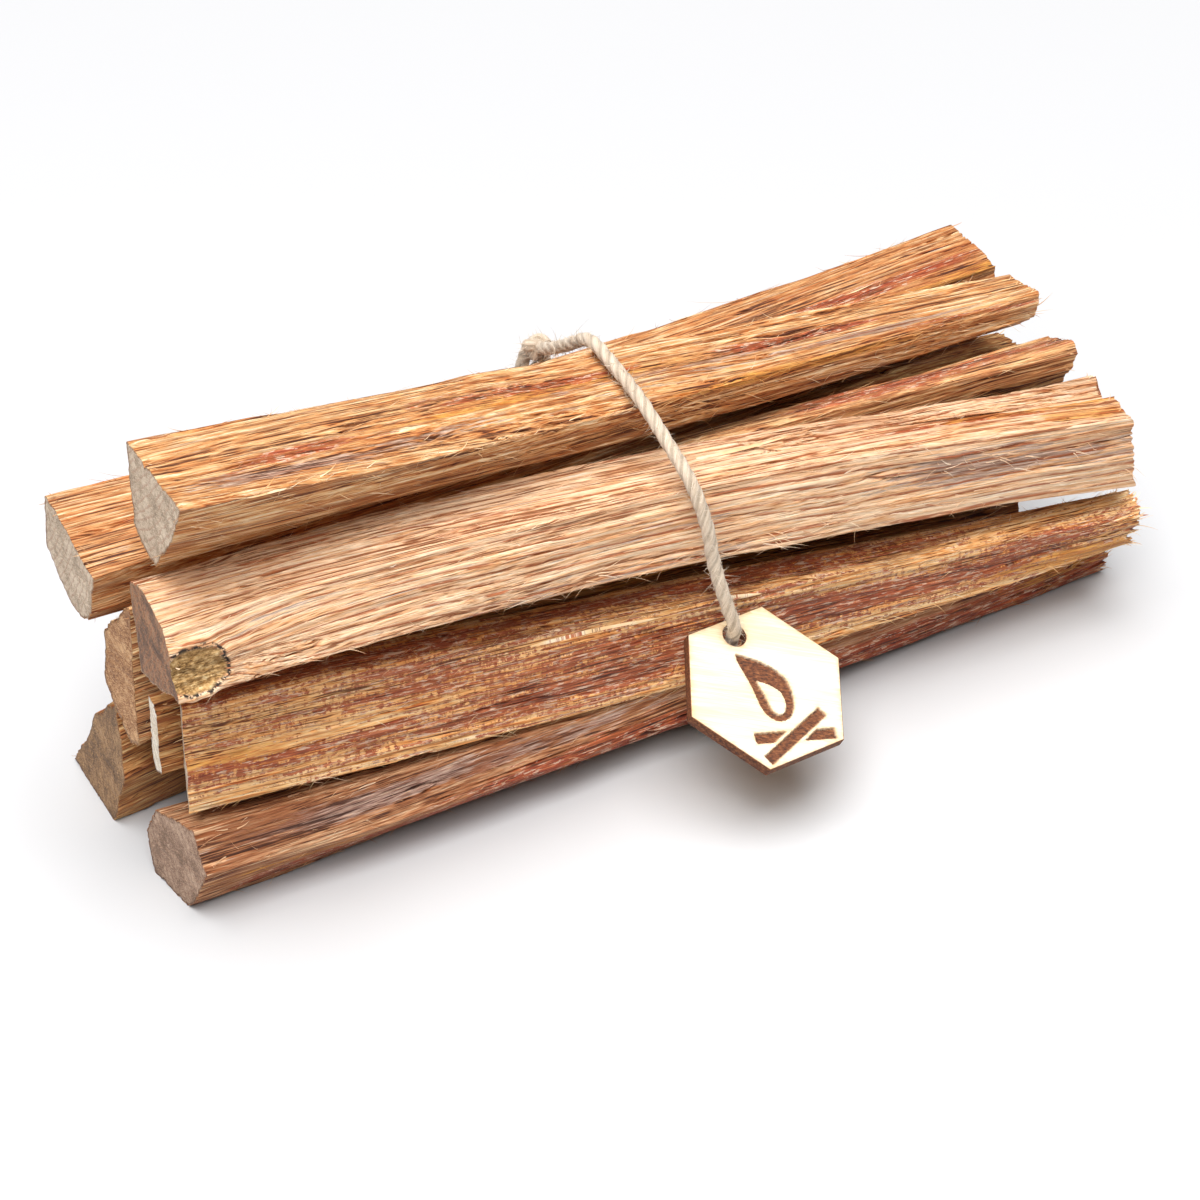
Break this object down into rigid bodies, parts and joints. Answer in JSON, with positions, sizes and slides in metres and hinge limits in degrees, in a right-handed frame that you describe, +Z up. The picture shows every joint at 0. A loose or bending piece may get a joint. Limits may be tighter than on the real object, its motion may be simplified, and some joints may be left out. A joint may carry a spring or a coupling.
{
  "type": "bundle of kindling sticks",
  "caption": "Bundle of split resinous pine kindling sticks lying on its side, tied round the middle with jute twine that carries a small hexagonal plywood tag.",
  "frame": {"origin": "middle of the bundle's bounding box, on the plane the bundle lies on", "axes": "+X along the sticks, from their cleanly sawn ends to their frayed ends; -Y towards the side that carries the tag; +Z up"},
  "size_m": [0.2057, 0.0905, 0.0854],
  "materials": {
    "pine_pale": "rough split pine, straw and orange grain with grey weathered streaks",
    "pine_red": "rough split pine soaked with red-brown resin, with pale torn fibres",
    "pine_brown": "rough split pine, brown and grey-brown, matt",
    "jute": "undyed laid jute twine, matt and hairy",
    "birch_ply": "smooth pale birch plywood with scorched cut edges"
  },
  "bodies": {
    "root": {"stick_top_front": "pine_pale", "stick_top_back": "pine_red", "stick_middle_front": "pine_pale", "stick_middle_back": "pine_brown", "stick_inner": "pine_brown", "stick_lower_front": "pine_red", "stick_bottom_back": "pine_brown", "stick_bottom_front": "pine_brown", "twine": "jute", "tag": "birch_ply"}
  },
  "joints": []
}
